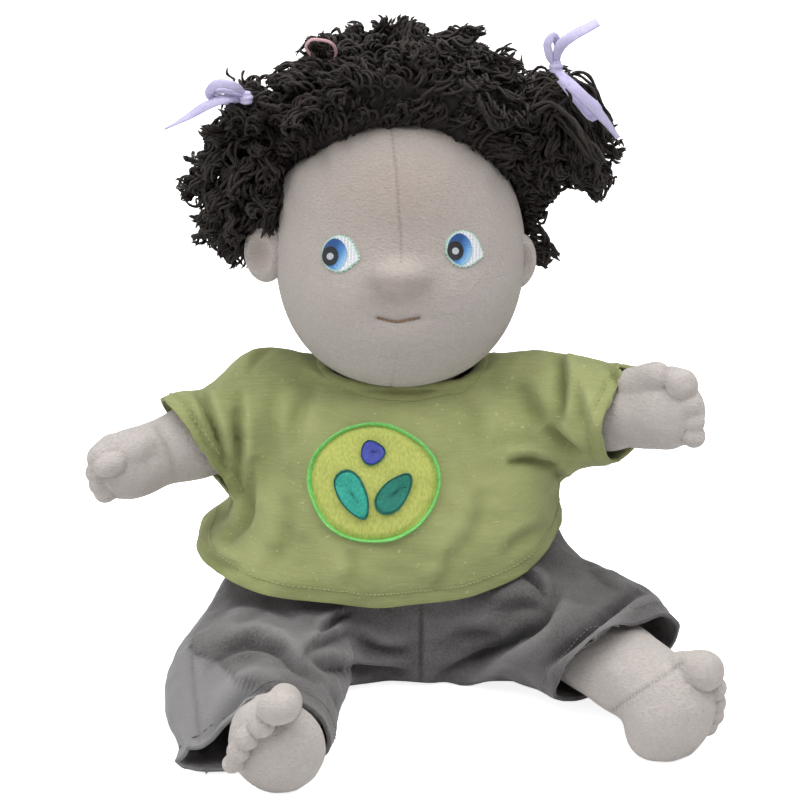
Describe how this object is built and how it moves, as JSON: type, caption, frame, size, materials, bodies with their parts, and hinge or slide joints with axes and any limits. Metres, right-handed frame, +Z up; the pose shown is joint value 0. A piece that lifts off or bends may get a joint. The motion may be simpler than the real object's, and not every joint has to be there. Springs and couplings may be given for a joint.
{
  "type": "cloth doll",
  "caption": "Soft stuffed cloth doll that sits, in a knitted shirt and velour trousers, with curly yarn hair in tied bunches; head, arms and legs turn.",
  "frame": {"origin": "on the floor under the middle of the doll's outline", "axes": "+Z up, -Y the way the doll faces, +X to the doll's own left"},
  "size_m": [0.2606, 0.2152, 0.2699],
  "materials": {
    "skin": "pale velour, brushed",
    "shirt_jersey": "knitted cotton",
    "shirt_rib": "ribbed knit",
    "trouser_velour": "grey velour",
    "hair_yarn": "curly loop yarn",
    "ribbon_satin": "satin",
    "hair_elastic": "covered elastic",
    "tie_elastic": "covered elastic",
    "waist_elastic": "woven elastic",
    "mouth_thread": "embroidery thread",
    "eye_edge_thread": "embroidery thread",
    "eye_white_thread": "embroidery thread",
    "iris_thread": "embroidery thread",
    "pupil_thread": "embroidery thread",
    "badge_cloth": "cotton twill",
    "badge_edge": "corded satin stitch",
    "badge_teal_dark": "satin stitch",
    "badge_teal_light": "satin stitch",
    "badge_blue": "satin stitch"
  },
  "bodies": {
    "torso": {"torso": "skin", "shirt_body": "shirt_jersey", "neck_band": "shirt_rib", "patch_disc": "badge_cloth", "patch_border": "badge_edge", "patch_leaf_large": "badge_teal_dark", "patch_leaf_small": "badge_teal_light", "patch_berry": "badge_blue", "trousers_seat": "trouser_velour", "waist_elastic": "waist_elastic"},
    "neck": {"neck": "skin"},
    "head": {"head": "skin", "mouth_thread": "mouth_thread", "hair_cap": "hair_yarn", "hair_loop": "hair_elastic", "left_eye_border": "eye_edge_thread", "left_eye_white": "eye_white_thread", "left_iris": "iris_thread", "left_pupil": "pupil_thread", "left_ear": "skin", "left_hair_bunch": "hair_yarn", "left_bunch_tie": "tie_elastic", "left_ribbon": "ribbon_satin", "right_eye_border": "eye_edge_thread", "right_eye_white": "eye_white_thread", "right_iris": "iris_thread", "right_pupil": "pupil_thread", "right_ear": "skin", "right_hair_bunch": "hair_yarn", "right_bunch_tie": "tie_elastic", "right_ribbon": "ribbon_satin"},
    "left_arm": {"left_arm": "skin", "left_sleeve": "shirt_jersey"},
    "right_arm": {"right_arm": "skin", "right_sleeve": "shirt_jersey"},
    "left_leg": {"left_leg": "skin", "left_trouser_leg": "trouser_velour"},
    "right_leg": {"right_leg": "skin", "right_trouser_leg": "trouser_velour"}
  },
  "joints": [
    {"name": "neck_turn", "type": "hinge", "parent": "torso", "child": "neck", "pos_m": [0.00159, 0.04281, 0.144], "axis": [0, 0, 1], "range_deg": [-35, 35]},
    {"name": "head_nod", "type": "hinge", "parent": "neck", "child": "head", "pos_m": [0.00159, 0.04281, 0.144], "axis": [1, 0, 0], "range_deg": [-12, 5]},
    {"name": "left_arm_raise", "type": "hinge", "parent": "torso", "child": "left_arm", "pos_m": [0.05859, 0.03981, 0.106], "axis": [0, -1, 0], "range_deg": [-34, 38]},
    {"name": "right_arm_raise", "type": "hinge", "parent": "torso", "child": "right_arm", "pos_m": [-0.05541, 0.03981, 0.106], "axis": [0, 1, 0], "range_deg": [-9, 55]},
    {"name": "left_leg_spread", "type": "hinge", "parent": "torso", "child": "left_leg", "pos_m": [0.04459, 0.02781, 0.02], "axis": [0, 0, 1], "range_deg": [-35, 15]},
    {"name": "right_leg_spread", "type": "hinge", "parent": "torso", "child": "right_leg", "pos_m": [-0.04141, 0.01581, 0.02], "axis": [0, 0, -1], "range_deg": [0, 45]}
  ]
}
